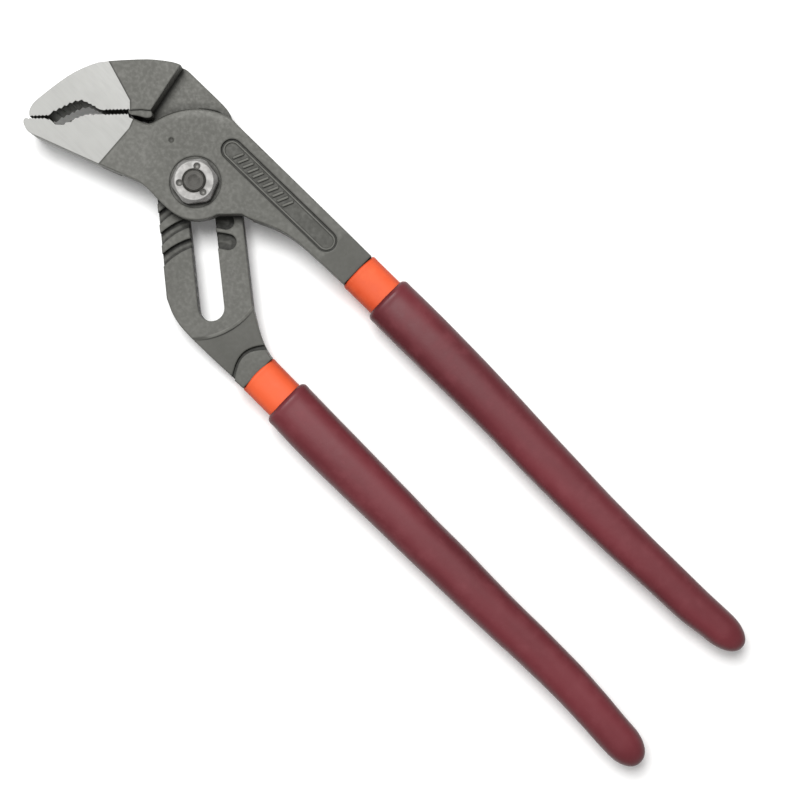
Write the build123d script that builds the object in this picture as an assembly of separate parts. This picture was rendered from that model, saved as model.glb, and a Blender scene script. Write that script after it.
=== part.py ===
from build123d import *
import math
import os

# Tongue and groove pliers, jaws nearly closed on the first groove.
# Frame: origin on the pivot bolt's axis at the flat back of its head, the plane
# the tool rests on; +X along the handles, +Y towards the handle of the tongue
# half, +Z (front) towards the nut. Millimetres. Everything is built about the
# parting plane between the halves and lifted by rest_height at the end.

# ---------------------------------------------------------------- dimensions
head_half = 6.0            # half thickness of the jaws and head
face_gap = 0.05            # each half stands this far off the parting plane
seat = head_half + face_gap  # parting plane to the seat of the bolt's head
neck_rear = 5.0            # rear half thickness of the tongue half's neck
tang_half = 4.6            # half thickness of both necks where the tangs start
taper_end_x = 50.4         # the necks taper down to tang_half here
tongue_neck_end, groove_neck_end = 50.0, 50.3  # forged outlines are cut off at these x

slot_angle = 140.7         # direction from the handles to the jaws along the slot
slot_half_width = 3.75
slot_start = 0.12          # centre of the slot's upper round end, along the slot
positions = 7              # grooves, one for each jaw opening
pitch = 5.9                # spacing of the grooves along the slot
slot_end = pitch * (positions - 1) + 0.1  # centre of the slot's lower round end

# Ring sectors: radii about the bolt, ends in degrees off the slot's line.
open_angle = 70.0          # how far the handles open
tongue_in, tongue_out = 18.2, 20.6
tongue_left, tongue_right = -29.0, 22.0
tongue_depth = 1.5
groove_in, groove_out = 18.0, 20.8
groove_left, groove_right = -52.0, 10.0
groove_depth = 1.8
groove_floor = -groove_depth - face_gap
pocket_mid = (groove_in + groove_out) / 2   # fat run-out end of each groove
pocket_r, pocket_start, pocket_end = 2.3, 7.0, 20.9
sweep_clear = 12.95        # jaw root stays this far from the bolt, seen along the arm
neck_clear = 16.2          # and so does the rear of the neck, with the handles open
rim_r = 20.8               # round rim of the front plate about the bolt
rim_angles = (108.0, 138.0, 168.3)

neck_r, neck_top = 3.65, -0.1     # bolt neck that rides in the slot
shank_r, shank_z0 = 3.1, -0.5
bolt_head_r, bolt_head_h, bolt_head_round = 7.2, 2.7, 1.6
bolt_end_z, bolt_chamfer = 10.0, 0.45
bolt_dish_r, bolt_dish_depth = 6.0, 0.25
rest_height = seat + bolt_head_h  # back of the bolt's head to the parting plane

nut_af, nut_corner_r = 12.1, 6.55
nut_z0, nut_z1 = 5.87, 9.5
nut_turn = 20.8            # direction of one nut flat
stake_angles = (122.8, -7.6, 233.4)
stake_place_r, stake_ball_r, stake_lift = 4.15, 1.05, 0.35

spot_r, spot_depth = 7.4, 0.2     # spot face under the nut
panel_start, panel_end, panel_r, panel_depth = (1.0, 13.75), (38.0, 14.05), 3.15, 0.7
panel_floor = head_half - panel_depth
border_outset, border_inset, border_h = 0.62, 1.02, 0.22  # line inside the panel's wall
rib_count, rib_pitch, rib_w, rib_len, rib_h = 11, 1.95, 0.6, 3.3, 0.35
rib_lean, rib_offset, rib_row_slope = -24.0, 2.4, 0.008   # first rib's distance along panel
dimple_place, dimple_r, dimple_lift = (-13.2, 3.7), 1.0, 0.55
grind_depth = 0.15         # ground jaw faces sit this far below the forged skin

# Teeth: the crest leads, and the root follows after this share of the pitch.
tooth_lean = 0.32
fine_pitch, fine_depth = 1.0, 0.30        # flat parts of the jaws
middle_pitch, middle_depth = 1.1, 0.28    # short step of the upper jaw
coarse_pitch, coarse_depth = 1.6, 0.48    # pipe-gripping curves
lower_coarse_depth = 0.8 * coarse_depth

# Lower end of the slide face: arc-shaped drop, slope beyond it, groove at the boss.
runout_c, runout_r, runout_w, runout_depth = (14.6, -17.3), 21.2, 0.8, 0.45
slope_dir, slope_start, slope_len, slope_fall = -18.1, 39.05, 14, 0.132
root_floor, root_top = -2.75, 4.0
heel_drop = 0.5            # the heel stops this far below the head's front

undercoat_t = 0.65         # first dip
band_x0 = 50.2             # where the first dip starts

# Grips, each row: x, middle y, outside width, outside thickness
handle_a = [
    (61.0, 14.55, 14.2, 12.4), (64.0, 14.55, 14.8, 12.8), (75.0, 14.5, 15.0, 13.0),
    (92.7, 14.4, 14.5, 12.8), (104.1, 14.2, 14.1, 12.6), (115.5, 13.8, 13.7, 12.4),
    (127.0, 13.35, 13.4, 12.2), (138.4, 13.1, 13.0, 12.0), (149.9, 12.95, 12.5, 11.7),
    (161.3, 13.0, 12.0, 11.4), (172.7, 13.25, 11.5, 11.1), (184.2, 13.45, 11.2, 10.8),
    (194.5, 14.15, 10.1, 10.0), (199.5, 14.45, 8.3, 8.4), (202.3, 14.55, 5.7, 5.9),
    (203.5, 14.6, 3.1, 3.2)]
handle_b = [
    (61.0, -26.5, 14.2, 12.4), (64.0, -26.65, 14.8, 12.8), (75.0, -27.0, 15.0, 13.0),
    (92.7, -27.2, 14.5, 12.8), (104.1, -27.25, 14.1, 12.6), (115.5, -27.4, 13.7, 12.4),
    (127.0, -27.3, 13.4, 12.2), (138.4, -27.4, 12.9, 12.0), (149.9, -27.35, 12.4, 11.7),
    (161.3, -27.1, 12.0, 11.4), (172.7, -27.1, 11.6, 11.1), (184.2, -27.6, 11.3, 10.8),
    (194.5, -28.4, 10.7, 10.3), (201.3, -28.9, 8.9, 8.8), (204.5, -29.0, 6.2, 6.2),
    (205.8, -29.0, 3.4, 3.4)]
# Metal tangs under the dips, each row: x, middle y, width, thickness
tang_a = [
    (42.0, 14.42, 10.5, 8.6), (54.0, 14.47, 10.8, 8.8), (66.0, 14.5, 10.8, 8.9),
    (80.0, 14.48, 10.5, 8.8), (95.0, 14.35, 10.1, 8.6), (111.0, 14.0, 9.7, 8.3),
    (127.0, 13.35, 9.2, 7.8), (144.0, 13.0, 8.7, 7.4), (161.3, 13.0, 8.2, 7.0),
    (174.0, 13.25, 7.7, 6.7), (185.0, 13.5, 7.0, 6.2), (194.0, 13.8, 5.8, 5.4)]
tang_b = [
    (48.0, -26.38, 10.8, 8.7), (54.0, -26.42, 10.9, 8.8), (66.0, -26.65, 10.8, 8.9),
    (80.0, -27.0, 10.5, 8.8), (95.0, -27.2, 10.1, 8.6), (111.0, -27.3, 9.7, 8.3),
    (127.0, -27.3, 9.2, 7.8), (144.0, -27.35, 8.7, 7.4), (161.3, -27.1, 8.2, 7.0),
    (174.0, -27.15, 7.7, 6.7), (185.0, -27.65, 7.0, 6.2), (194.0, -28.3, 5.8, 5.4)]


# ------------------------------------------------------------------- outlines
def polar(radius, deg, centre=(0.0, 0.0)):
    angle = math.radians(deg)
    return centre[0] + radius * math.cos(angle), centre[1] + radius * math.sin(angle)


def along(distance, across=0.0):
    """Point by distance towards the jaws along the slot, and across it towards +Y."""
    return polar(across, slot_angle - 90.0, polar(distance, slot_angle))


def chain(*pieces):
    """One closed face from (kind, points) runs; straight lines bridge any gaps."""
    edges, last = [], None
    first = pieces[0][1][0]

    def line(start, end):
        edges.append(Edge.make_line(Vector(*start), Vector(*end)))

    for kind, points in pieces:
        if last is not None and math.dist(last, points[0]) > 1e-3:
            line(last, points[0])
        if kind == "line":
            for start, end in zip(points, points[1:]):
                line(start, end)
        elif kind == "arc":
            edges.append(Edge.make_three_point_arc(*[Vector(*p) for p in points]))
        else:
            edges.append(Edge.make_spline([Vector(*p) for p in points]))
        last = points[-1]
    if math.dist(last, first) > 1e-3:
        line(last, first)
    return Face(Wire(edges))


def sector(inner, outer, start, end, centre=(0.0, 0.0)):
    """Ring sector; angles are degrees off the slot's line, towards +Y positive."""
    def arc(radius, *angles):
        return [polar(radius, slot_angle - angle, centre) for angle in angles]

    middle = (start + end) / 2
    return chain(("arc", arc(outer, start, middle, end)),
                 ("arc", arc(inner, end, middle, start)))


def stadium(start, end, radius):
    """Round-ended strip between two centres."""
    deg = math.degrees(math.atan2(end[1] - start[1], end[0] - start[0]))
    return chain(
        ("line", [polar(radius, deg - 90, start), polar(radius, deg - 90, end)]),
        ("arc", [polar(radius, deg + turn, end) for turn in (-90, 0, 90)]),
        ("line", [polar(radius, deg + 90, end), polar(radius, deg + 90, start)]),
        ("arc", [polar(radius, deg + turn, start) for turn in (90, 180, 270)]))


def teeth(path, spacing, depth, side):
    """Serrated run: crests on path, roots depth to the given side."""
    runs = [(a, b, math.dist(a, b)) for a, b in zip(path, path[1:])]
    total = sum(length for _, _, length in runs)
    count = max(1, round(total / spacing))

    def offset_point(distance, offset):
        for a, b, length in runs:
            if distance <= length + 1e-9:
                break
            distance -= length
        step_x, step_y = (b[0] - a[0]) / length, (b[1] - a[1]) / length
        return (a[0] + step_x * distance - step_y * offset,
                a[1] + step_y * distance + step_x * offset)

    points = []
    for i in range(count):
        points.append(offset_point(total * i / count, 0.0))
        points.append(offset_point(total * (i + tooth_lean) / count, side * depth))
    return points + [path[-1]]


# --------------------------------------------------------------------- solids
def slab(face, z0, z1):
    return extrude(Pos(0, 0, z0) * face, amount=z1 - z0, dir=(0, 0, 1))


def rod(radius, z0, z1):
    return Pos(0, 0, (z0 + z1) / 2) * Cylinder(radius, z1 - z0)


def side_prism(points, reach):
    """Prism of an (x, z) polygon, reaching both ways along Y."""
    return extrude(Plane.XZ * Polygon(*points, align=None), amount=reach, both=True)


def turned(points):
    """Solid turned about Z from an (r, z) polygon."""
    return revolve(Plane.XZ * Polygon(*points, align=None), axis=Axis.Z)


def half_plane(deg, dist, size=400):
    """Everything farther than dist from the bolt in direction deg."""
    return Rot(0, 0, deg) * Pos(dist + size / 2, 0, 0) * Box(size, size, 40)


def taper_cut(start_x, start_z):
    """Wedge that thins a neck from start_z to tang_half, on start_z's side."""
    side = math.copysign(1, start_z)
    return side_prism([(start_x, start_z), (taper_end_x, side * tang_half),
                       (60, side * tang_half), (60, side * 12), (start_x, side * 12)], 60)


def tube(stations, grow=0.0):
    """Loft of rounded sections through (x, middle y, width, thickness) rows."""
    faces = []
    for x, y, width, thick in stations:
        width, thick = width + 2 * grow, thick + 2 * grow
        section = RectangleRounded(width, thick, min(width, thick) * 0.40)
        faces.append(Plane(origin=(x, y, 0), x_dir=(0, 1, 0), z_dir=(1, 0, 0)) * section)
    return loft(faces)


def one(shape):
    """The largest solid."""
    return sorted(shape.solids(), key=lambda s: -s.volume)[0]


def grind(solid, outline):
    """Lower both skins inside the outline by grind_depth."""
    return (solid - slab(outline, head_half - grind_depth, head_half + 2)
            - slab(outline, -head_half - 2, -head_half + grind_depth))


def edges_at(solid, z, keep, tol=0.02):
    """Level edges at z whose middle and ends all pass keep(x, y)."""
    found = []
    for edge in solid.edges():
        box = edge.bounding_box()
        if abs(box.min.Z - z) < tol and abs(box.max.Z - z) < tol:
            points = [edge.position_at(share) for share in (0.5, 0, 1)]
            if all(keep(p.X, p.Y) for p in points):
                found.append(edge)
    return found


def try_fillet(solid, edges, radii):
    """Fillet with the first radius that gives one valid solid, or None."""
    for radius in radii:
        # guards against radii the kernel cannot close on these edges
        try:
            result = fillet(edges, radius)
            if result.is_valid and len(result.solids()) == 1:
                return result
        except Exception:
            continue
    return None


def soften(solid, z, keep, radii):
    """Round the outer edges at z all together, or else one by one."""
    picked = edges_at(solid, z, keep)
    result = try_fillet(solid, picked, radii)
    if result is not None:
        return result
    for edge in picked:
        middle = edge.position_at(0.5)
        same = [e for e in edges_at(solid, z, keep)
                if (e.position_at(0.5) - middle).length < 1e-3]
        result = try_fillet(solid, same, radii)
        if result is not None:
            solid = result
    return solid


# ---------------------------------------------------------------- tongue half
lower_bite = (
    teeth([(-27.2, 0.5), (-32.0, -4.5)], fine_pitch, fine_depth, 1)
    + [(-32.9, -5.5)]
    + teeth([(-33.7, -6.1), (-35.2, -7.4), (-36.2, -9.1), (-37.4, -11.8), (-38.2, -14.0),
             (-38.8, -15.2)], coarse_pitch, lower_coarse_depth, 1)
    + [(-39.7, -16.0), (-41.2, -16.05)]
    + teeth([(-42.6, -16.35), (-46.8, -20.5)], fine_pitch, fine_depth, 1))
rim = [polar(rim_r, angle) for angle in rim_angles]
tongue_outline = chain(
    ("smooth", [(-45.4, -22.55), (-44.3, -22.9), (-42.9, -22.75)]),
    ("line", [(-42.9, -22.75), (-23.9, -15.75), (-13.2, -11.7)]),
    ("smooth", [(-13.2, -11.7), (-9.0, -10.75), (-4.3, -10.9), (0.4, -10.75), (5.6, -9.1),
                (9.4, -5.2), (10.75, -2.2)]),
    ("line", [(10.75, -2.2), (15.6, 2.75)]),
    ("smooth", [(15.6, 2.75), (19.2, 3.95), (24.2, 6.2), (30.4, 7.9), (36.1, 8.45),
                (42.0, 8.7), (52.0, 8.9)]),
    ("line", [(52.0, 8.9), (52.0, 20.0), (-3.0, 19.85)]),
    ("smooth", [(-3.0, 19.85), (-4.8, 19.95), rim[0]]),
    ("arc", rim),
    ("smooth", [rim[2], (-21.0, 2.75), (-23.2, 1.35), (-26.45, 0.1)]),
    ("line", [(-26.45, 0.1)] + lower_bite),
    ("smooth", [(-46.8, -20.5), (-47.05, -21.2), (-46.4, -22.1), (-45.4, -22.55)]))
ground_lower = chain(
    ("line", [(-25.4, 1.4), (-24.0, -2.2), (-23.0, -18.0), (-52.0, -30.0), (-52.0, -12.0)]))


def tongue_forging():
    front = slab(tongue_outline, face_gap, head_half)
    rear = slab(tongue_outline, -head_half, face_gap)
    # the jaw root stays clear of the arm through its whole swing
    rear_jaw = (rear & half_plane(slot_angle + 90.0, sweep_clear)
                & half_plane(slot_angle + 90.0 - open_angle, sweep_clear))
    rear_jaw = one(rear_jaw & (Pos(-45, -10, 0) * Box(66, 60, 40)))
    # the neck is full depth only beyond the arm's swing
    rear_neck = (rear & half_plane(slot_angle - 90.0 - open_angle, neck_clear)
                 & (Pos(150, 0, 0) * Box(280, 120, 2 * neck_rear)))
    body = front + rear_jaw + one(rear_neck)
    body = body & (Pos(tongue_neck_end - 225, 0, 0) * Box(450, 200, 60))
    # neck thins towards the grip, front and back
    body = one(body - taper_cut(40.5, head_half) - taper_cut(41.0, -neck_rear))

    def under_jaw(x, y):
        return -43 < x < -12 and y < -11.0

    body = soften(body, head_half, lambda x, y: -22.0 < x < 40.6 or under_jaw(x, y),
                  (1.3, 1.0, 0.8, 0.5))
    body = soften(body, -neck_rear, lambda x, y: 17.0 < x < 41.2, (1.2, 0.8, 0.5))
    body = soften(body, -head_half, under_jaw, (0.8, 0.5))
    neck_edges = [e for e in body.edges()
                  if 40.0 < e.center().X < 50.25 and e.bounding_box().size.X > 8
                  and abs(e.center().Z) > 4.0]
    for radius in (1.8, 1.2, 0.8):
        # guards against radii too large for the tapered neck
        try:
            trial = fillet(neck_edges, radius)
            if trial.is_valid:
                body = one(trial)
                break
        except Exception:
            continue
    return body


def add_panel(body):
    """Recessed panel on the front, with a raised inner border and leaning ribs."""
    def strip(inset, z0, z1):
        return slab(stadium(panel_start, panel_end, panel_r - inset), z0, z1)

    pocket = strip(0, panel_floor, head_half + 2)
    border = (strip(border_outset, panel_floor - 0.1, panel_floor + border_h)
              - strip(border_inset, panel_floor - 0.2, head_half))
    body = body - (pocket - border)
    for i in range(rib_count):
        distance = rib_offset + rib_pitch * i
        place = Pos(panel_start[0] + distance, panel_start[1] + rib_row_slope * distance,
                    panel_floor + rib_h / 2 - 0.05)
        body = body + place * Rot(0, 0, rib_lean) * Box(rib_w, rib_len, rib_h + 0.1)
    return body


def make_tongue_half():
    body = tongue_forging() + tube(tang_a)
    # curved tongue on the hidden face
    body = body + slab(sector(tongue_in, tongue_out, tongue_left, tongue_right),
                       -tongue_depth, face_gap + 0.5)
    body = body - rod(shank_r + 0.05, -7, 13)
    body = body - rod(spot_r, head_half - spot_depth, head_half - spot_depth + 4)
    body = add_panel(body)
    body = body - Pos(*dimple_place, head_half + dimple_lift) * Sphere(dimple_r)
    return one(grind(body, ground_lower))


# ---------------------------------------------------------------- groove half
upper_bite = (
    teeth([(-27.6, 1.5), (-32.6, -3.6)], fine_pitch, fine_depth, -1)
    + [(-33.6, -4.3)]
    + teeth([(-34.8, -4.7), (-36.8, -5.3), (-38.3, -5.8)], middle_pitch, middle_depth, -1)
    + teeth([(-38.5, -5.9), (-39.5, -6.7), (-40.5, -8.6), (-41.3, -11.0), (-42.2, -13.5),
             (-42.7, -14.9)], coarse_pitch, coarse_depth, -1)
    + teeth([(-42.9, -15.9), (-46.35, -19.6)], fine_pitch, fine_depth, -1))
head_outline = chain(
    ("line", upper_bite),
    ("smooth", [(-46.35, -19.6), (-47.3, -18.9), (-48.1, -17.4), (-48.35, -15.4),
                (-48.2, -13.6), (-47.5, -8.2), (-46.4, -2.6), (-45.1, 1.2), (-43.3, 4.9)]),
    ("smooth", [(-43.3, 4.9), (-40.6, 8.2), (-37.4, 11.7), (-33.5, 15.7), (-30.3, 18.3),
                (-27.6, 20.1), (-26.2, 20.7)]),
    ("smooth", [(-26.2, 20.7), (-25.35, 16.0), (-24.3, 10.8), (-23.3, 5.6)]),
    ("line", [(-23.3, 5.6), (-25.4, 3.9), (-27.6, 1.5)]))
heel_outline = chain(
    ("smooth", [(-27.9, 1.3), (-26.9, 0.75), (-24.9, 1.95), (-22.5, 3.45), (-22.0, 4.3),
                (-23.3, 5.6)]),
    ("line", [(-23.3, 5.6), (-25.5, 8.0), (-29.5, 3.5), (-27.9, 1.3)]))
arm_outline = chain(
    ("line", [(-28.5, 4.0), (-28.5, 19.6), (-26.6, 20.6)]),
    ("smooth", [(-26.6, 20.6), (-25.2, 21.15), (-23.5, 21.25), (-16.0, 21.3), (-10.5, 21.3),
                (-8.0, 20.95), (-6.5, 20.1)]),
    ("line", [(-6.5, 20.1), along(-36.8, 11.8)]),
    ("smooth", [along(-36.8, 11.8), (38.6, -15.75), (41.5, -17.5), (44.5, -19.0),
                (47.5, -20.05), (52.0, -20.65)]),
    ("line", [(52.0, -20.65), (52.0, -32.15)]),
    ("smooth", [(52.0, -32.15), (42.0, -32.5), (30.0, -32.6), (25.0, -32.35), (21.4, -31.6),
                (18.7, -30.5), along(-31.4, -12.35)]),
    ("line", [along(-31.4, -12.35), along(10.0, -12.0), along(21.0, -12.0)]))
boss_outline = chain(
    ("smooth", [(48.3, -33.6), (46.15, -30.9), (44.95, -28.7), (44.25, -26.2),
                (44.35, -24.7), (44.9, -23.1), (46.05, -21.4), (48.3, -18.8)]),
    ("line", [(48.3, -18.8), (60.0, -18.8), (60.0, -33.6), (48.3, -33.6)]))
root_outline = chain(
    ("smooth", [(46.8, -34.4), (44.75, -31.5), (43.45, -29.0), (42.75, -26.0),
                (42.85, -24.4), (43.5, -22.5), (44.8, -20.4), (47.0, -17.9)]),
    ("line", [(47.0, -17.9), (49.5, -17.9), (49.5, -34.4), (46.8, -34.4)]))
ground_upper = chain(
    ("line", [(-41.8, 7.4), (-29.4, 3.6), (-27.0, 1.2), (-40.0, -22.0), (-54.0, -24.0),
              (-54.0, 7.0)]))


def make_arm():
    arm = slab(arm_outline, -head_half, -face_gap)
    # the machined slide face ends in a shallow arc-shaped drop
    drop_z = -face_gap - runout_depth
    drop_r = runout_r + runout_w
    runout = Pos(*runout_c, 0) * turned([(runout_r, -face_gap), (drop_r, drop_z),
                                         (70, drop_z), (70, 4), (runout_r, 4)])
    arm = one(arm - (runout & (Pos(52.5, -24.0, 0) * Box(50, 22, 12))))
    # beyond the drop the forging slopes down to the root groove
    slope_end = slope_start + slope_len
    slope = Rot(0, 0, slope_dir) * side_prism(
        [(slope_start, drop_z), (slope_end, drop_z - slope_len * slope_fall),
         (slope_end, 3), (slope_start, 3)], 40)
    slope = slope - Pos(*runout_c, 0) * Cylinder(drop_r, 20)
    arm = one(arm - slope)
    # root groove in front of the boss
    return one(arm - slab(root_outline, root_floor, root_top))


def groove_forging():
    head = slab(head_outline, -head_half, head_half)
    heel = slab(heel_outline, -head_half, head_half - heel_drop)
    boss = slab(boss_outline, -head_half, tang_half) & slab(arm_outline, -20, 20)
    body = make_arm() + heel + head + one(boss)
    body = body - taper_cut(38.0, -head_half)
    body = one(body - (Pos(groove_neck_end + 50, 0, 0) * Box(100, 200, 60)))
    body = soften(body, head_half,
                  lambda x, y: x > -48.0 and (y > 4.6 or x < -43.0)
                  and not (x > -26.5 and y < 20.0), (0.8, 0.5))
    body = soften(body, tang_half, lambda x, y: x > 43.0, (2.2, 1.6, 1.2, 0.8, 0.5))
    return soften(body, -head_half,
                  lambda x, y: x > -48.0 and (y > 5.0 or x > -12.0 or x < -44), (0.8, 0.5))


def make_groove_half():
    body = groove_forging() + tube(tang_b)
    # slot for the bolt's neck
    body = body - slab(stadium(along(slot_start), along(-slot_end), slot_half_width), -20, 20)
    # one curved groove for each opening, open at the arm's edge, with a fat run-out end
    for k in range(positions):
        centre = along(-pitch * k)
        groove = sector(groove_in, groove_out, groove_left, groove_right, centre)
        body = body - slab(groove, groove_floor, 0.2)
        fat = sector(pocket_mid - pocket_r, pocket_mid + pocket_r,
                     pocket_start, pocket_end, centre)
        body = body - slab(fat, groove_floor, 0.2)
        end = polar(pocket_mid, slot_angle - pocket_end, centre)
        body = body - Pos(*end, 0) * rod(pocket_r, groove_floor, groove_floor + 2.0)
    return one(grind(body, ground_upper))


# --------------------------------------------------------------- dipped grips
def dips(handle, tang, half):
    """Undercoat and grip over one tang."""
    inner = tube(tang)
    stations = tang[:-1] + [(tang[-1][0] + undercoat_t, *tang[-1][1:])]
    outer = tube(stations, grow=undercoat_t) - (Pos(band_x0 - 50, 0, 0) * Box(100, 200, 60))
    coat = one(outer - inner)
    grip = one(tube(handle) - outer - inner)
    return one(coat - half), grip


# -------------------------------------------------------------- bolt and nut
def make_bolt():
    bolt = rod(bolt_head_r, -rest_height, -seat)
    back_edges = [e for e in bolt.edges()
                  if e.center().Z < -head_half - 1.5 and e.geom_type == GeomType.CIRCLE]
    bolt = fillet(back_edges, bolt_head_round)
    bolt = bolt + rod(neck_r, -seat, neck_top)
    bolt = bolt + rod(shank_r, shank_z0, bolt_end_z)
    end_edges = [e for e in bolt.edges() if e.center().Z > bolt_end_z - 0.05]
    bolt = chamfer(end_edges, bolt_chamfer)
    # slightly dished end
    dish_z = bolt_end_z + bolt_dish_r - bolt_dish_depth
    return one(bolt - Pos(0, 0, dish_z) * Sphere(bolt_dish_r))


def make_nut():
    hexagon = RegularPolygon(nut_af / 2, 6, major_radius=False)
    blank = extrude(Pos(0, 0, nut_z0) * Rot(0, 0, nut_turn + 30) * hexagon,
                    amount=nut_z1 - nut_z0)
    # turned envelope that bevels the corners
    nut = blank & turned([(0, nut_z0), (nut_corner_r - 0.25, nut_z0),
                          (nut_corner_r, nut_z0 + 0.4), (nut_corner_r, nut_z1 - 1.35),
                          (nut_af / 2 - 0.55, nut_z1), (0, nut_z1)])
    nut = one(nut) - Pos(0, 0, nut_z0) * Cylinder(shank_r + 0.02, 20)
    # lead-in cone at the mouth of the hole
    nut = nut - turned([(0, nut_z1 - 0.3), (shank_r, nut_z1 - 0.3),
                        (shank_r + 0.55, nut_z1 + 0.2), (0, nut_z1 + 0.2)])
    for angle in stake_angles:
        stake = Pos(*polar(stake_place_r, angle), nut_z1 + stake_lift)
        nut = nut - stake * Sphere(stake_ball_r)
    return one(nut)


# --------------------------------------------------------------------- export
tongue_half = make_tongue_half()
groove_half = make_groove_half()
coat_a, grip_a = dips(handle_a, tang_a, tongue_half)
coat_b, grip_b = dips(handle_b, tang_b, groove_half)

os.makedirs("parts", exist_ok=True)
for name, solid in {
    "tongue_half": tongue_half,
    "tongue_half_undercoat": coat_a,
    "tongue_half_grip": grip_a,
    "groove_half": groove_half,
    "groove_half_undercoat": coat_b,
    "groove_half_grip": grip_b,
    "pivot_bolt": make_bolt(),
    "pivot_nut": make_nut(),
}.items():
    solid = Pos(0, 0, rest_height) * solid
    solid.label = name
    export_step(solid, f"parts/{name}.step")
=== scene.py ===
import bpy
import bmesh
import math
import random
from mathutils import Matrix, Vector, noise


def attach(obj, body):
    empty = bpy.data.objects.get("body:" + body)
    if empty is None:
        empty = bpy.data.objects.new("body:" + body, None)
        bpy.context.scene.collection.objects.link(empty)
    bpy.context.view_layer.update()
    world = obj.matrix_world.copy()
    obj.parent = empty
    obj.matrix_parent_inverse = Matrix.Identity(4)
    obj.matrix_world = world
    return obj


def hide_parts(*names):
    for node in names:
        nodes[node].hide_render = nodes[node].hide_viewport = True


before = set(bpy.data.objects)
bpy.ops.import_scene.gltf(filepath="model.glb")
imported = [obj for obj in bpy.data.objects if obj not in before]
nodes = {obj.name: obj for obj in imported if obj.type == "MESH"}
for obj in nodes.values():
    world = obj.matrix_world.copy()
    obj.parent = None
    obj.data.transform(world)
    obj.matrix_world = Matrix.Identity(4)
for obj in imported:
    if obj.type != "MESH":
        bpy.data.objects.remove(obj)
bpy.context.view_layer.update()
random.seed(7)
MM = 0.001
PART_Z = 8.75          # parting plane above the rest plane, mm


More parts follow.
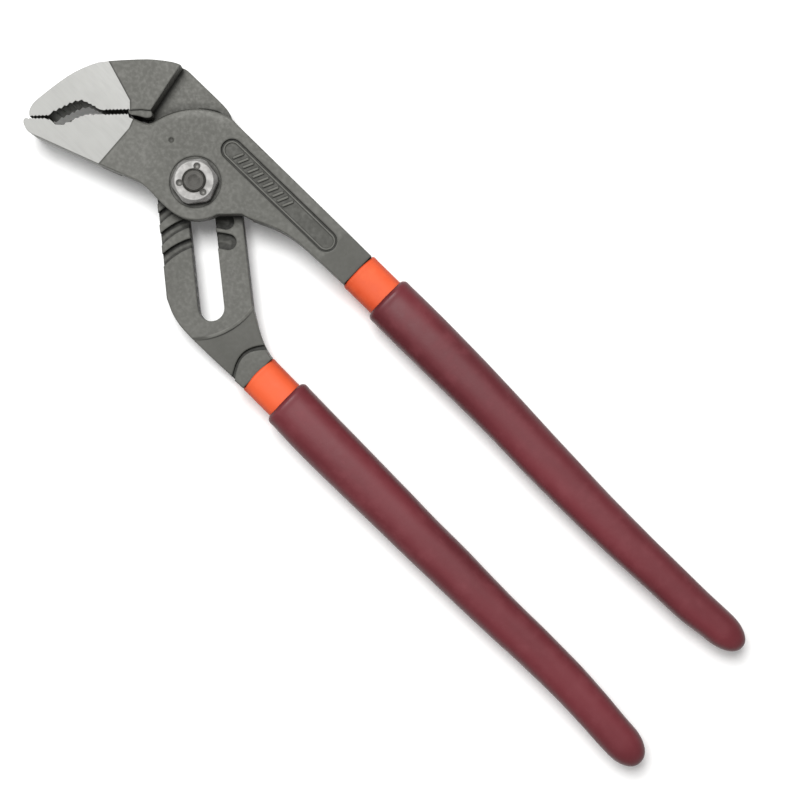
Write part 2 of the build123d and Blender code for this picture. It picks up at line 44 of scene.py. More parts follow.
# ------------------------------------------------------------------ node help
class Tree:
    def __init__(self, name):
        self.mat = bpy.data.materials.new(name)
        self.mat.use_nodes = True
        self.t = self.mat.node_tree
        self.t.nodes.clear()
        self.out = self.t.nodes.new("ShaderNodeOutputMaterial")
        self.bsdf = self.t.nodes.new("ShaderNodeBsdfPrincipled")
        self.t.links.new(self.bsdf.outputs[0], self.out.inputs[0])
        self.co = self.t.nodes.new("ShaderNodeTexCoord").outputs["Object"]
        self._sep = None

    def put(self, socket, value):
        if isinstance(value, bpy.types.NodeSocket):
            self.t.links.new(value, socket)
        elif hasattr(socket.default_value, "__len__") and not hasattr(value, "__len__"):
            socket.default_value = (value, value, value, 1.0)[:len(socket.default_value)]
        elif hasattr(value, "__len__") and len(value) == 3 and len(socket.default_value) == 4:
            socket.default_value = (*value, 1.0)
        else:
            socket.default_value = value

    def math(self, op, a, b=0.0, c=0.0, clamp=False):
        n = self.t.nodes.new("ShaderNodeMath")
        n.operation = op
        n.use_clamp = clamp
        for s, v in zip(n.inputs, (a, b, c)):
            self.put(s, v)
        return n.outputs[0]

    def noise(self, scale, detail=4.0, rough=0.55, vec=None, dist=0.0):
        n = self.t.nodes.new("ShaderNodeTexNoise")
        self.put(n.inputs["Vector"], vec if vec is not None else self.co)
        self.put(n.inputs["Scale"], scale)
        self.put(n.inputs["Detail"], detail)
        self.put(n.inputs["Roughness"], rough)
        self.put(n.inputs["Distortion"], dist)
        return n.outputs[0]

    def voronoi(self, scale, vec=None):
        n = self.t.nodes.new("ShaderNodeTexVoronoi")
        self.put(n.inputs["Vector"], vec if vec is not None else self.co)
        self.put(n.inputs["Scale"], scale)
        return n.outputs[0]

    def ramp(self, fac, lo, hi, a=0.0, b=1.0, smooth=True):
        n = self.t.nodes.new("ShaderNodeMapRange")
        n.interpolation_type = "SMOOTHSTEP" if smooth else "LINEAR"
        self.put(n.inputs["Value"], fac)
        for k, v in (("From Min", lo), ("From Max", hi), ("To Min", a), ("To Max", b)):
            self.put(n.inputs[k], v)
        return n.outputs[0]

    def mix(self, fac, a, b):
        n = self.t.nodes.new("ShaderNodeMix")
        n.data_type = "RGBA"
        self.put(n.inputs["Factor"], fac)
        self.put(n.inputs[6], a)
        self.put(n.inputs[7], b)
        return n.outputs[2]

    def mixf(self, fac, a, b):
        n = self.t.nodes.new("ShaderNodeMix")
        n.data_type = "FLOAT"
        self.put(n.inputs[0], fac)
        self.put(n.inputs[2], a)
        self.put(n.inputs[3], b)
        return n.outputs[0]

    def scaled(self, sx, sy, sz, turn=0.0):
        n = self.t.nodes.new("ShaderNodeMapping")
        self.put(n.inputs["Vector"], self.co)
        n.inputs["Rotation"].default_value = (0, 0, turn)
        n.inputs["Scale"].default_value = (sx, sy, sz)
        return n.outputs[0]

    def bump(self, height, dist_mm, strength=1.0, normal=None):
        n = self.t.nodes.new("ShaderNodeBump")
        n.inputs["Strength"].default_value = strength
        n.inputs["Distance"].default_value = dist_mm * MM
        self.put(n.inputs["Height"], height)
        if normal is not None:
            self.t.links.new(normal, n.inputs["Normal"])
        return n.outputs[0]

    def bevel(self, radius_mm, samples=6):
        n = self.t.nodes.new("ShaderNodeBevel")
        n.samples = samples
        if isinstance(radius_mm, bpy.types.NodeSocket):
            self.put(n.inputs["Radius"], self.math("MULTIPLY", radius_mm, MM))
        else:
            n.inputs["Radius"].default_value = radius_mm * MM
        return n.outputs[0]

    def radius(self, cx, cy):
        """Distance in mm from a vertical line at cx, cy."""
        x, y, _ = self.xyz()
        a = self.math("SUBTRACT", self.math("MULTIPLY", x, 1000.0), cx)
        b = self.math("SUBTRACT", self.math("MULTIPLY", y, 1000.0), cy)
        return self.math("SQRT", self.math("ADD", self.math("MULTIPLY", a, a), self.math("MULTIPLY", b, b)))

    def ao(self, dist_mm, samples=8):
        n = self.t.nodes.new("ShaderNodeAmbientOcclusion")
        n.samples = samples
        n.inputs["Distance"].default_value = dist_mm * MM
        return n.outputs["AO"]

    def geo(self, name):
        n = self.t.nodes.new("ShaderNodeNewGeometry")
        return n.outputs[name]

    def sep(self, vec):
        n = self.t.nodes.new("ShaderNodeSeparateXYZ")
        self.t.links.new(vec, n.inputs[0])
        return n.outputs

    def xyz(self):
        if self._sep is None:
            self._sep = self.sep(self.co)
        return self._sep

    def dot(self, a, b):
        n = self.t.nodes.new("ShaderNodeVectorMath")
        n.operation = "DOT_PRODUCT"
        self.t.links.new(a, n.inputs[0])
        self.t.links.new(b, n.inputs[1])
        return n.outputs["Value"]

    def line(self, p, q):
        """Signed distance in mm from the line p to q in plan, positive on its left."""
        x, y, _ = self.xyz()
        lx, ly = q[0] - p[0], q[1] - p[1]
        ln = math.hypot(lx, ly)
        a, b = -ly / ln, lx / ln
        c = -(a * p[0] + b * p[1])
        s = self.math("MULTIPLY", x, a * 1000.0)
        s = self.math("ADD", s, self.math("MULTIPLY", y, b * 1000.0))
        return self.math("ADD", s, c)

    def finish(self, base, rough, metal, normal=None, spec=0.5, coat=0.0, coat_rough=0.3):
        self.put(self.bsdf.inputs["Base Color"], base)
        self.put(self.bsdf.inputs["Roughness"], rough)
        self.put(self.bsdf.inputs["Metallic"], metal)
        self.put(self.bsdf.inputs["Specular IOR Level"], spec)
        self.put(self.bsdf.inputs["Coat Weight"], coat)
        self.put(self.bsdf.inputs["Coat Roughness"], coat_rough)
        if normal is not None:
            self.t.links.new(normal, self.bsdf.inputs["Normal"])
        return self.mat


# ------------------------------------------------------------------- materials
def forged(name, ground_lines, seed, panel=False, slide=False):
    """Dark phosphate forging with bright ground jaw faces bounded by lines in plan."""
    m = Tree(name)
    x, y, z = m.xyz()
    vec = m.t.nodes.new("ShaderNodeMapping")
    m.put(vec.inputs["Vector"], m.co)
    vec.inputs["Location"].default_value = (seed, seed * 0.7, 0)
    vec = vec.outputs[0]
    broad = m.noise(55, 3, 0.5, vec)
    skin = m.noise(900, 5, 0.62, vec)
    grit = m.noise(3600, 3, 0.6, vec)
    pits = m.voronoi(420, vec)
    # where the ground face is: inside every line and on the flat outer face
    inside = None
    for p, q in ground_lines:
        d = m.line(p, q)
        inside = d if inside is None else m.math("MINIMUM", inside, d)
    zoff = m.math("ABSOLUTE", m.math("SUBTRACT", m.math("MULTIPLY", z, 1000.0), PART_Z))
    nz = m.math("ABSOLUTE", m.sep(m.geo("True Normal"))[2])
    flat = m.math("MULTIPLY", m.ramp(zoff, 5.70, 5.80), m.ramp(nz, 0.80, 0.95))
    ground = m.math("MULTIPLY", m.ramp(inside, -0.02, 0.10), flat)
    # painted shade: a dark line along the step at the edge of the ground face
    ground_step_shade = m.math("MULTIPLY", m.math("MULTIPLY", m.ramp(inside, -0.55, -0.12), m.ramp(inside, 0.16, 0.0)), m.ramp(zoff, 5.3, 5.6))
    # walls of the bite are machined as well, but in shade
    # forged skin colour
    dark = m.mix(m.ramp(broad, 0.35, 0.68), (0.0930, 0.0925, 0.0825), (0.1085, 0.1075, 0.0970))
    dark = m.mix(m.ramp(skin, 0.50, 0.75, 0.0, 0.13), dark, (0.150, 0.150, 0.135))
    dark = m.mix(m.ramp(pits, 0.16, 0.02, 0.0, 0.24), dark, (0.06, 0.06, 0.05))
    # worn edges
    bev = m.bevel(0.55, 8)
    edge = m.ramp(m.dot(bev, m.geo("True Normal")), 0.985, 0.86)
    wear = m.math("MULTIPLY", edge, m.ramp(m.noise(260, 4, 0.6, vec), 0.38, 0.62, 0.15, 0.70))
    dark = m.mix(m.math("MULTIPLY", wear, 0.45), dark, (0.30, 0.30, 0.275))
    # ground steel: fine parallel grinding lines across the jaw
    lines = m.noise(1.0, 4, 0.6, m.scaled(260, 7500, 260, math.radians(-28)))
    lines2 = m.noise(1.0, 2, 0.5, m.scaled(90, 2100, 90, math.radians(-28)))
    bright = m.mix(m.ramp(lines, 0.30, 0.72), (0.250, 0.250, 0.240), (0.305, 0.305, 0.293))
    bright = m.mix(m.ramp(lines2, 0.45, 0.75, 0.0, 0.30), bright, (0.215, 0.215, 0.206))
    bright = m.mix(m.ramp(m.noise(70, 3, 0.5, vec), 0.42, 0.75, 0.0, 0.30), bright, (0.325, 0.325, 0.313))
    bright = m.mix(m.math("MULTIPLY", wear, 0.35), bright, (0.38, 0.38, 0.367))
    xm, ym, zm = m.math("MULTIPLY", x, 1000.0), m.math("MULTIPLY", y, 1000.0), m.math("MULTIPLY", z, 1000.0)
    if panel:
        # recessed panel: duller floor, rubbed rib tops
        u = m.math("SUBTRACT", xm, 1.0)
        v = m.math("SUBTRACT", ym, m.math("ADD", 13.75, m.math("MULTIPLY", u, 0.008)))
        du = m.math("SUBTRACT", u, m.math("MINIMUM", m.math("MAXIMUM", u, 0.0), 37.0))
        d = m.math("SQRT", m.math("ADD", m.math("MULTIPLY", du, du), m.math("MULTIPLY", v, v)))
        inp = m.math("MULTIPLY", m.ramp(d, 3.14, 3.04), m.ramp(zm, PART_Z + 5.92, PART_Z + 5.80))
        floor_m = m.math("MULTIPLY", inp, m.ramp(zm, PART_Z + 5.46, PART_Z + 5.36))
        dark = m.mix(m.math("MULTIPLY", floor_m, m.ramp(m.noise(700, 4, 0.6, vec), 0.35, 0.65, 0.50, 0.72)), dark, (0.045, 0.045, 0.039))
        top = m.math("MULTIPLY", inp, m.ramp(zm, PART_Z + 5.46, PART_Z + 5.52))
        dark = m.mix(m.math("MULTIPLY", top, 0.30), dark, (0.19, 0.19, 0.17))
    if slide:
        # painted shade on the floors of the grooves and pockets; the runout's edge is rubbed bright
        rr = m.radius(14.6, -17.3)
        face = m.ramp(rr, 21.2, 21.0)
        low = m.math("MULTIPLY", m.ramp(zm, PART_Z - 1.0, PART_Z - 1.6), m.math("MULTIPLY", face, m.ramp(zm, PART_Z - 2.6, PART_Z - 2.1)))
        groove_floor_shade = m.math("MULTIPLY", low, m.ramp(m.sep(m.geo("True Normal"))[2], 0.5, 0.9))
        dark = m.mix(m.math("MULTIPLY", groove_floor_shade, m.ramp(m.noise(500, 3, 0.6, vec), 0.35, 0.65, 0.18, 0.40)), dark, (0.035, 0.034, 0.029))
        # painted shade against both walls of every curved groove and round the run-out pockets, in the corners where
        # light is blocked
        c0, s0 = math.cos(math.radians(140.7)), math.sin(math.radians(140.7))
        u = m.math("ADD", m.math("MULTIPLY", xm, c0), m.math("MULTIPLY", ym, s0))
        v = m.math("ADD", m.math("MULTIPLY", xm, s0), m.math("MULTIPLY", ym, -c0))
        sunk = m.math("MULTIPLY", m.ramp(zm, PART_Z - 0.06, PART_Z - 0.20), face)
        for radius in (20.8, 18.0):
            ph = m.math("SQRT", m.math("MAXIMUM", m.math("SUBTRACT", radius * radius, m.math("MULTIPLY", v, v)), 0.0))
            ph = m.math("DIVIDE", m.math("SUBTRACT", ph, u), 5.9)
            off = m.math("MULTIPLY", m.math("ABSOLUTE", m.math("SUBTRACT", ph, m.math("ROUND", ph))), 5.9)
            groove_wall_shade = m.math("MULTIPLY", m.ramp(off, 1.42, 0.72), m.ramp(v, 7.5, 6.5))
            dark = m.mix(m.math("MULTIPLY", m.math("MULTIPLY", groove_wall_shade, sunk), m.ramp(m.noise(330, 3, 0.6, vec), 0.30, 0.62, 0.86, 0.98)), dark, (0.022, 0.022, 0.018))
        pu, pv = 19.4 * math.cos(math.radians(20.9)), 19.4 * math.sin(math.radians(20.9))
        fu = m.math("DIVIDE", m.math("SUBTRACT", u, pu), 5.9)
        fu = m.math("MULTIPLY", m.math("SUBTRACT", fu, m.math("ROUND", fu)), 5.9)
        fv = m.math("MAXIMUM", m.math("SUBTRACT", v, pv), 0.0)
        pr = m.math("SQRT", m.math("ADD", m.math("MULTIPLY", fu, fu), m.math("MULTIPLY", fv, fv)))
        # painted shade: a dark ring round each run-out pocket
        ring = m.math("MULTIPLY", m.math("MULTIPLY", m.ramp(pr, 0.45, 1.10, 0.34, 0.97), m.ramp(v, 3.0, 4.0)), sunk)
        dark = m.mix(ring, dark, (0.022, 0.022, 0.018))
        # painted shade in the root groove along the boss arc
        root_groove_shade = m.math("MULTIPLY", m.ramp(zm, PART_Z - 2.15, PART_Z - 2.5), m.ramp(zm, PART_Z - 3.3, PART_Z - 3.0))
        root_groove_shade = m.math("MULTIPLY", root_groove_shade, m.math("MULTIPLY", m.ramp(xm, 41.5, 42.0), m.ramp(m.sep(m.geo("True Normal"))[2], -0.4, -0.1)))
        dark = m.mix(m.math("MULTIPLY", root_groove_shade, 0.80), dark, (0.022, 0.022, 0.018))
        rub = m.math("MULTIPLY", m.ramp(rr, 20.9, 21.25), m.ramp(rr, 22.1, 21.7))
        rub = m.math("MULTIPLY", rub, m.math("MULTIPLY", m.ramp(xm, 31.0, 33.5), m.ramp(m.noise(160, 3, 0.6, vec), 0.34, 0.60, 0.35, 1.0)))
        rub = m.math("MULTIPLY", rub, m.math("MULTIPLY", m.ramp(zm, PART_Z - 0.7, PART_Z - 0.6), m.ramp(zm, PART_Z + 0.5, PART_Z + 0.2)))
        dark = m.mix(m.math("MULTIPLY", rub, 0.60), dark, (0.30, 0.30, 0.275))
    # painted highlight on the round plate's rounded edge; painted shade along its outer edge and painted shadow of
    # the plate on the arm's face beside it
    rim_d = m.radius(0.0, 0.0)
    rim_s = m.math("MULTIPLY", m.ramp(xm, -4.5, -7.0), m.ramp(ym, 3.2, 5.2))
    if slide:
        # painted shadow of the plate on the arm's face beside it
        rim_shade = m.math("MULTIPLY", m.ramp(rim_d, 24.4, 21.8), m.math("MULTIPLY", m.ramp(zm, PART_Z - 0.6, PART_Z - 0.3), m.ramp(zm, PART_Z + 0.6, PART_Z + 0.3)))
        rim_shade = m.math("MULTIPLY", m.math("MULTIPLY", rim_shade, rim_s), m.ramp(xm, -20.5, -15.0, 0.75, 0.45))
    else:
        rim_s = m.math("MULTIPLY", rim_s, m.ramp(zm, PART_Z + 1.5, PART_Z + 3.0))
        # painted highlight on the plate's rounded edge
        rim_highlight = m.math("MULTIPLY", m.math("MULTIPLY", m.ramp(rim_d, 17.8, 19.6), m.ramp(rim_d, 20.75, 20.35)), m.math("MULTIPLY", rim_s, m.ramp(xm, -20.5, -15.5, 0.15, 1.0)))
        dark = m.mix(m.math("MULTIPLY", rim_highlight, 0.55), dark, (0.160, 0.159, 0.146))
        # painted shade along the plate's outermost edge
        rim_shade = m.math("MULTIPLY", m.math("MULTIPLY", m.ramp(rim_d, 20.25, 20.65), rim_s), m.ramp(xm, -19.5, -12.5, 0.90, 0.38))
    dark = m.mix(m.math("MULTIPLY", rim_shade, m.ramp(m.noise(190, 3, 0.6, vec), 0.34, 0.60, 0.75, 1.0)), dark, (0.022, 0.022, 0.018))
    # walls of the bite are machined, with painted shade darkest just under the face and a painted reflection of the
    # floor lighter lower down
    bite = m.math("MULTIPLY", m.ramp(inside, 0.35, 0.65), m.ramp(nz, 0.75, 0.35))
    dark = m.mix(bite, dark, m.mix(m.ramp(zm, PART_Z + 5.7, PART_Z - 3.5), (0.07, 0.07, 0.063), (0.30, 0.30, 0.285)))
    base = m.mix(ground, dark, bright)
    # painted shade along the step at the edge of the ground face
    base = m.mix(m.math("MULTIPLY", ground_step_shade, 0.72), base, (0.04, 0.04, 0.034))
    shade = m.ramp(m.ao(1.7, 10), 0.50, 0.96, 0.90, 0.0)
    base = m.mix(m.math("MULTIPLY", shade, m.math("SUBTRACT", 1.0, m.math("ADD", m.math("MULTIPLY", ground, 0.6), m.math("MULTIPLY", bite, 0.75)), clamp=True)), base, (0.020, 0.020, 0.017))
    rough = m.mixf(ground, m.ramp(skin, 0.3, 0.7, 0.56, 0.70), m.ramp(lines, 0.3, 0.7, 0.50, 0.62))
    metal = m.mixf(ground, 0.35, 0.45)
    h = m.math("ADD", m.math("MULTIPLY", skin, 0.55), m.math("MULTIPLY", grit, 0.25))
    h = m.math("ADD", h, m.math("MULTIPLY", m.ramp(pits, 0.0, 0.2), 0.2))
    h = m.mixf(ground, h, m.math("MULTIPLY", lines, 0.22))
    soft = m.bevel(m.ramp(inside, -0.8, -0.2, 0.65, 0.22), 8)
    n = m.bump(h, 0.045, 0.7, soft)
    return m.finish(base, rough, metal, n, 0.5)


def bolt_mat():
    m = Tree("bolt_dark_steel")
    x, y, z = m.xyz()
    r = m.math("MULTIPLY", m.math("SQRT", m.math("ADD", m.math("MULTIPLY", x, x), m.math("MULTIPLY", y, y))), 1000.0)
    rings = m.math("SINE", m.math("MULTIPLY", r, 15.0))
    skin = m.noise(1200, 4, 0.6)
    base = m.mix(m.ramp(skin, 0.35, 0.7), (0.042, 0.040, 0.035), (0.078, 0.075, 0.068))
    edge = m.ramp(m.dot(m.bevel(0.4, 6), m.geo("True Normal")), 0.985, 0.86)
    base = m.mix(m.math("MULTIPLY", edge, 0.45), base, (0.20, 0.195, 0.18))
    base = m.mix(m.ramp(m.noise(500, 3, 0.6), 0.55, 0.7, 0, 0.4), base, (0.13, 0.125, 0.115))
    h = m.math("ADD", m.math("MULTIPLY", rings, 0.12), m.math("MULTIPLY", skin, 0.6))
    return m.finish(base, m.ramp(skin, 0.3, 0.7, 0.52, 0.68), 0.4, m.bump(h, 0.06, 0.8, m.bevel(0.2, 4)))


def nut_mat():
    m = Tree("nut_dull_plate")
    skin = m.noise(700, 5, 0.65)
    broad = m.noise(220, 3, 0.5)
    base = m.mix(m.ramp(broad, 0.35, 0.68), (0.225, 0.220, 0.212), (0.33, 0.325, 0.315))
    base = m.mix(m.ramp(skin, 0.56, 0.74, 0.0, 0.4), base, (0.38, 0.375, 0.365))
    base = m.mix(m.ramp(m.noise(1100, 3, 0.6), 0.60, 0.72, 0.0, 0.6), base, (0.20, 0.195, 0.18))
    edge = m.ramp(m.dot(m.bevel(0.45, 8), m.geo("True Normal")), 0.985, 0.86)
    base = m.mix(m.math("MULTIPLY", edge, 0.45), base, (0.46, 0.455, 0.44))
    # darker in the punched dents and round the bore, by distance from the axis
    x, y, z = m.xyz()
    r = m.math("MULTIPLY", m.math("SQRT", m.math("ADD", m.math("MULTIPLY", x, x), m.math("MULTIPLY", y, y))), 1000.0)
    base = m.mix(m.ramp(r, 3.75, 3.3, 0.0, 0.7), base, (0.10, 0.095, 0.085))
    low = m.math("MULTIPLY", m.math("SUBTRACT", z, (PART_Z + 9.5) * MM), -1000.0)
    dent = m.math("MULTIPLY", m.ramp(low, 0.02, 0.45), m.ramp(r, 5.2, 4.9))
    base = m.mix(m.math("MULTIPLY", dent, 0.55), base, (0.16, 0.155, 0.14))
    # painted shade from ambient occlusion in the hollows
    base = m.mix(m.ramp(m.ao(1.8, 8), 0.30, 0.92, 0.75, 0.0), base, (0.03, 0.03, 0.026))
    h = m.math("ADD", m.math("MULTIPLY", skin, 0.6), m.math("MULTIPLY", broad, 0.5))
    return m.finish(base, m.ramp(skin, 0.3, 0.7, 0.50, 0.64), 0.5, m.bump(h, 0.10, 0.8, m.bevel(0.28, 6)))


def vinyl(name, deep, mid, light, seed, rough=0.47, spec=0.31, coat=0.03):
    """Dipped plastic: soft sheen, faint flow variation, fine orange peel, a few scuffs, a painted highlight where it
    faces the camera and painted shade towards its sides.
    """
    m = Tree(name)
    vec = m.t.nodes.new("ShaderNodeMapping")
    m.put(vec.inputs["Vector"], m.co)
    vec.inputs["Location"].default_value = (seed, 0.3 * seed, 0.1)
    vec = vec.outputs[0]
    flow = m.noise(1.0, 3, 0.5, m.scaled(16, 60, 60))
    mott = m.noise(240, 4, 0.55, vec)
    peel = m.noise(1300, 2, 0.5, vec)
    base = m.mix(m.ramp(flow, 0.32, 0.70), deep, mid)
    base = m.mix(m.ramp(mott, 0.45, 0.80, 0.0, 0.35), base, light)
    scuff = m.noise(1.0, 4, 0.7, m.scaled(140, 900, 900, 0.25))
    sc = m.ramp(scuff, 0.66, 0.74, 0.0, 0.30)
    base = m.mix(sc, base, light)
    layer = m.t.nodes.new("ShaderNodeLayerWeight")
    layer.inputs["Blend"].default_value = 0.25
    face = layer.outputs["Facing"]
    # painted highlight where the grip faces the camera
    base = m.mix(m.ramp(face, 0.07, 0.0, 0.0, 0.24), base, light)
    # painted shade towards the sides as they turn away
    base = m.mix(m.ramp(face, 0.05, 0.38, 0.0, 0.80), base, tuple(0.80 * c for c in deep))
    h = m.math("ADD", m.math("MULTIPLY", peel, 0.5), m.math("MULTIPLY", mott, 0.8))
    r = m.math("ADD", m.ramp(mott, 0.3, 0.7, rough - 0.05, rough + 0.07), m.math("MULTIPLY", sc, 0.3))
    return m.finish(base, r, 0.0, m.bump(h, 0.045, 0.7), spec, coat, 0.25)


mat_tongue = forged("forged_tongue_half", [((-23.0, -18.0), (-24.0, -2.2)), ((-24.0, -2.2), (-25.4, 1.4))], 0.13, panel=True)
mat_groove = forged("forged_groove_half", [((-27.0, 1.2), (-29.4, 3.6)), ((-29.4, 3.6), (-41.8, 7.4))], 0.41, slide=True)
mat_bolt = bolt_mat()
mat_nut = nut_mat()
mat_maroon = vinyl("grip_maroon", (0.098, 0.0135, 0.0185), (0.150, 0.0225, 0.0300), (0.20, 0.045, 0.055), 0.21)
mat_orange = vinyl("undercoat_orange", (0.62, 0.072, 0.020), (0.76, 0.105, 0.032), (0.84, 0.16, 0.06), 0.77, 0.58, 0.28, 0.0)


def paint(obj, mat):
    obj.data.materials.clear()
    obj.data.materials.append(mat)


paint(nodes["tongue_half"], mat_tongue)
paint(nodes["groove_half"], mat_groove)
paint(nodes["pivot_bolt"], mat_bolt)
paint(nodes["pivot_nut"], mat_nut)

# -------------------------------------------------------------- dipped handles
# stations: x, middle y, width, thickness of the outer grip, mm, z about the parting plane
GRIP_A = [(61.0, 14.55, 14.2, 12.4), (64.0, 14.55, 14.8, 12.8), (75.0, 14.5, 15.0, 13.0),
          (92.7, 14.4, 14.5, 12.8), (104.1, 14.2, 14.1, 12.6), (115.5, 13.8, 13.7, 12.4),
          (127.0, 13.35, 13.4, 12.2), (138.4, 13.1, 13.0, 12.0), (149.9, 12.95, 12.5, 11.7),
          (161.3, 13.0, 12.0, 11.4), (172.7, 13.25, 11.5, 11.1), (184.2, 13.45, 11.2, 10.8),
          (194.5, 14.2, 10.2, 10.1), (203.7, 14.6, 9.5, 9.5)]
GRIP_B = [(61.0, -26.5, 14.2, 12.4), (64.0, -26.65, 14.8, 12.8), (75.0, -27.0, 15.0, 13.0),
          (92.7, -27.2, 14.5, 12.8), (104.1, -27.25, 14.1, 12.6), (115.5, -27.4, 13.7, 12.4),
          (127.0, -27.3, 13.4, 12.2), (138.4, -27.4, 12.9, 12.0), (149.9, -27.35, 12.4, 11.7),
          (161.3, -27.1, 12.0, 11.4), (172.7, -27.1, 11.6, 11.1), (184.2, -27.6, 11.3, 10.8),
          (194.5, -28.4, 10.9, 10.4), (206.0, -29.0, 10.5, 10.1)]
COAT_A = [(50.0, 14.47, 12.1, 10.2), (66.0, 14.5, 12.1, 10.2)]
COAT_B = [(50.0, -26.42, 12.2, 10.2), (66.0, -26.65, 12.1, 10.2)]


def pchip(st, k, x):
    """Monotone cubic through the stations' k-th value."""
    n = len(st)
    if x <= st[0][0]:
        return st[0][k]
    if x >= st[-1][0]:
        return st[-1][k]
    h = [st[i + 1][0] - st[i][0] for i in range(n - 1)]
    d = [(st[i + 1][k] - st[i][k]) / h[i] for i in range(n - 1)]
    s = [d[0]] + [0.0 if d[i - 1] * d[i] <= 0 else 2 * d[i - 1] * d[i] / (d[i - 1] + d[i]) for i in range(1, n - 1)] + [d[-1]]
    i = max(j for j in range(n - 1) if st[j][0] <= x)
    t = (x - st[i][0]) / h[i]
    return ((2 * t ** 3 - 3 * t ** 2 + 1) * st[i][k] + (t ** 3 - 2 * t ** 2 + t) * h[i] * s[i]
            + (-2 * t ** 3 + 3 * t ** 2) * st[i + 1][k] + (t ** 3 - t ** 2) * h[i] * s[i + 1])


def section(w, t, a, p=2.55):
    c, s = math.cos(a), math.sin(a)
    r = (abs(c) ** p + abs(s) ** p) ** (-1 / p)
    return w / 2 * r * c, t / 2 * r * s


def sleeve(name, st, x0, x1, inner, dome, lip, bead, seed, wavy=0.16, swell=0.10, exponent=2.55):
    """Dipped sleeve as a closed skin of real thickness, with a rounded lip at x0 and a domed end if dome is set."""
    N = 96
    xs = []
    x = x0
    while x < x0 + 3.0:
        xs.append(x)
        x += 0.06 + 0.10 * (x - x0)
    end = x1 - dome
    while x < end:
        xs.append(x)
        x += 1.1
    if dome:
        xs += [end + dome * math.sin(math.pi / 2 * i / 22) for i in range(22)]
    else:
        xs.append(x1)
    verts, faces = [], []
    for x in xs:
        w, t = pchip(st, 2, x), pchip(st, 3, x)
        cy = pchip(st, 1, x)
        iw, it = pchip(inner, 2, x) - 0.3, pchip(inner, 3, x) - 0.3
        u = min(1.0, (x - x0) / lip)
        f = math.sqrt(max(0.0, 1 - (1 - u) ** 2))
        roll = bead * math.exp(-((x - x0 - lip * 1.25) / (lip * 0.9)) ** 2)
        w = iw + (w - iw) * f + roll
        t = it + (t - it) * f + roll
        if dome and x > end:
            k = math.sqrt(max(0.0, 1 - ((x - end) / dome) ** 2)) ** 0.92
            w, t = w * max(k, 0.02), t * max(k, 0.02)
        fade = max(0.0, 1 - (x - x0) / 6.0)
        for j in range(N):
            a = 2 * math.pi * j / N
            dy, dz = section(w, t, a, exponent)
            c, s = math.cos(a), math.sin(a)
            # edge of the dip isn't quite straight; the skin swells a little
            sh = wavy * fade * noise.noise(Vector((c * 1.3 + seed, s * 1.3, 3.1)))
            sw = swell * noise.noise(Vector((x * 0.055 + seed, c * 0.9, s * 0.9)))
            if u >= 1.0 and not (dome and x > end):
                dy += c * sw
                dz += s * sw
            verts.append(((x + sh) * MM, (cy + dy) * MM, (PART_Z + dz) * MM))
    R = len(xs)
    for i in range(R - 1):
        for j in range(N):
            k = (j + 1) % N
            faces.append((i * N + j, i * N + k, (i + 1) * N + k, (i + 1) * N + j))
    if dome:
        verts.append(((x1 + 0.02) * MM, pchip(st, 1, x1) * MM, PART_Z * MM))
        tip = len(verts) - 1
        for j in range(N):
            faces.append(((R - 1) * N + j, (R - 1) * N + (j + 1) % N, tip))
    # inner wall, from the lip to a blind end, or through to the open end
    last_in = x1 - 9.0 if dome else x1
    xin = [x0 + 0.8]
    while xin[-1] < last_in - 4.0:
        xin.append(xin[-1] + 3.5)
    xin.append(last_in)
    prev = 0
    for x in xin:
        w = min(pchip(inner, 2, x) - 0.3, pchip(st, 2, x) - 1.6)
        t = min(pchip(inner, 3, x) - 0.3, pchip(st, 3, x) - 1.6)
        cy = pchip(st, 1, x)
        base = len(verts)
        for j in range(N):
            dy, dz = section(w, t, 2 * math.pi * j / N, exponent)
            verts.append((x * MM, (cy + dy) * MM, (PART_Z + dz) * MM))
        for j in range(N):
            k = (j + 1) % N
            faces.append((prev + j, prev + k, base + k, base + j))
        prev = base
    if dome:
        verts.append(((last_in + 1.0) * MM, pchip(st, 1, last_in) * MM, PART_Z * MM))
        tip = len(verts) - 1
        for j in range(N):
            faces.append((prev + j, prev + (j + 1) % N, tip))
    else:
        for j in range(N):
            k = (j + 1) % N
            faces.append((prev + j, prev + k, (R - 1) * N + k, (R - 1) * N + j))
    me = bpy.data.meshes.new(name)
    me.from_pydata(verts, [], faces)
    bm = bmesh.new()
    bm.from_mesh(me)
    bmesh.ops.recalc_face_normals(bm, faces=bm.faces)
    bm.to_mesh(me)
    bm.free()
    me.update()
    for p in me.polygons:
        p.use_smooth = True
    ob = bpy.data.objects.new(name, me)
    bpy.context.scene.collection.objects.link(ob)
    return ob


for tag, body, grip, coat, x_end, seed in (
        ("tongue", "tongue_body", GRIP_A, COAT_A, 203.7, 1.7),
        ("groove", "groove_body", GRIP_B, COAT_B, 206.0, 5.3)):
    g = sleeve(f"grip_{tag}", grip, 61.0, x_end, coat, 8.2, 1.1, 0.35, seed)
    paint(g, mat_maroon)
    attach(g, body)
    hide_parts(f"{tag}_half_grip")
    tang = [(s[0], s[1], s[2] - 1.3, s[3] - 1.3) for s in coat]
    c = sleeve(f"undercoat_{tag}", coat, 50.05, 66.0, tang, 0, 0.7, 0.16, seed + 9, 0.22, 0.05)
    paint(c, mat_orange)
    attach(c, body)
    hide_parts(f"{tag}_half_undercoat")

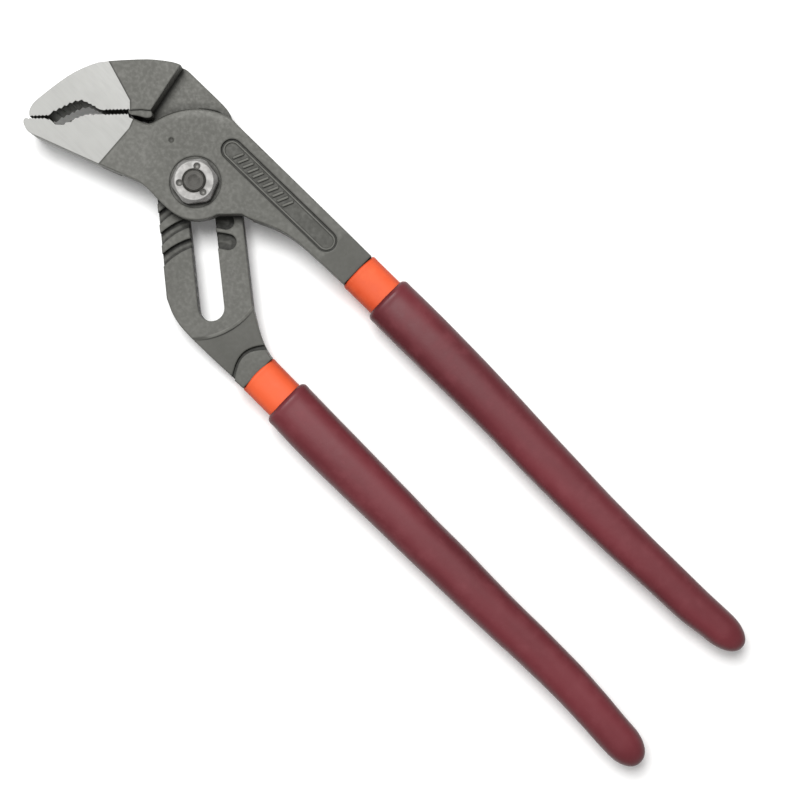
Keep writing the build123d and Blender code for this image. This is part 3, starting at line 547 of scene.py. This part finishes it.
# ---------------------------------------------------------------- floor, light
bpy.ops.mesh.primitive_plane_add(size=6.0, location=(0.085, -0.003, -0.0002))
floor = bpy.context.object
floor.name = "floor"
fm = Tree("floor_white")
fm.finish(fm.mix(fm.ramp(fm.noise(8, 2), 0.3, 0.7), (0.93, 0.93, 0.925), (0.95, 0.95, 0.945)), 0.85, 0.0, None, 0.1)
fm.put(fm.bsdf.inputs["Emission Color"], (1.0, 1.0, 0.995))
fm_seen = fm.t.nodes.new("ShaderNodeLightPath").outputs["Is Camera Ray"]
fm_far = fm.math("MULTIPLY", fm.ramp(fm.radius(0.0, 0.0), 380.0, 1100.0, 0.0, 0.75), fm_seen)   # the floor runs out into the white backdrop
fm.put(fm.bsdf.inputs["Emission Strength"], fm.math("ADD", fm_far, 0.05))
paint(floor, fm.mat)

world = bpy.data.worlds.new("studio")
bpy.context.scene.world = world
world.use_nodes = True
wt = world.node_tree
bg = wt.nodes["Background"]
bg.inputs[0].default_value = (1.0, 1.0, 1.0, 1.0)
path = wt.nodes.new("ShaderNodeLightPath")
seen = wt.nodes.new("ShaderNodeMapRange")      # the backdrop is as white as the floor
wt.links.new(path.outputs["Is Camera Ray"], seen.inputs["Value"])
seen.inputs["To Min"].default_value = 0.42
seen.inputs["To Max"].default_value = 1.0
wt.links.new(seen.outputs[0], bg.inputs[1])


def area(name, loc, target, size, power, color=(1, 1, 1)):
    d = bpy.data.lights.new(name, "AREA")
    d.shape = "RECTANGLE"
    d.size, d.size_y = size
    d.energy = power
    d.color = color
    o = bpy.data.objects.new(name, d)
    o.location = loc
    o.rotation_euler = (Vector(target) - Vector(loc)).to_track_quat("-Z", "Y").to_euler()
    bpy.context.scene.collection.objects.link(o)
    return o


ctr = Vector((0.085, -0.003, 0.0))
up = Vector((-0.7009, 0.7133, 0.0))       # towards the top of the picture
right = Vector((0.7133, 0.7009, 0.0))
key_dir = (up * 0.345 - right * 0.160 + Vector((0, 0, 0.925))).normalized()
area("key", ctr + key_dir * 1.15, ctr, (0.50, 0.50), 13.5)

# -------------------------------------------------------------------- camera
cam = bpy.data.cameras.new("camera")
cam.sensor_width = 36.0
cam.lens = 36.0 * 500.0 / 228.8
cam.clip_start = 0.01
co = bpy.data.objects.new("camera", cam)
co.location = (0.08442, -0.00340, (PART_Z + 500.0) * MM)
co.rotation_euler = (0.0, 0.0, math.radians(44.5))
bpy.context.scene.collection.objects.link(co)
bpy.context.scene.camera = co
bpy.context.scene.view_settings.view_transform = "Standard"
bpy.context.scene.view_settings.look = "None"
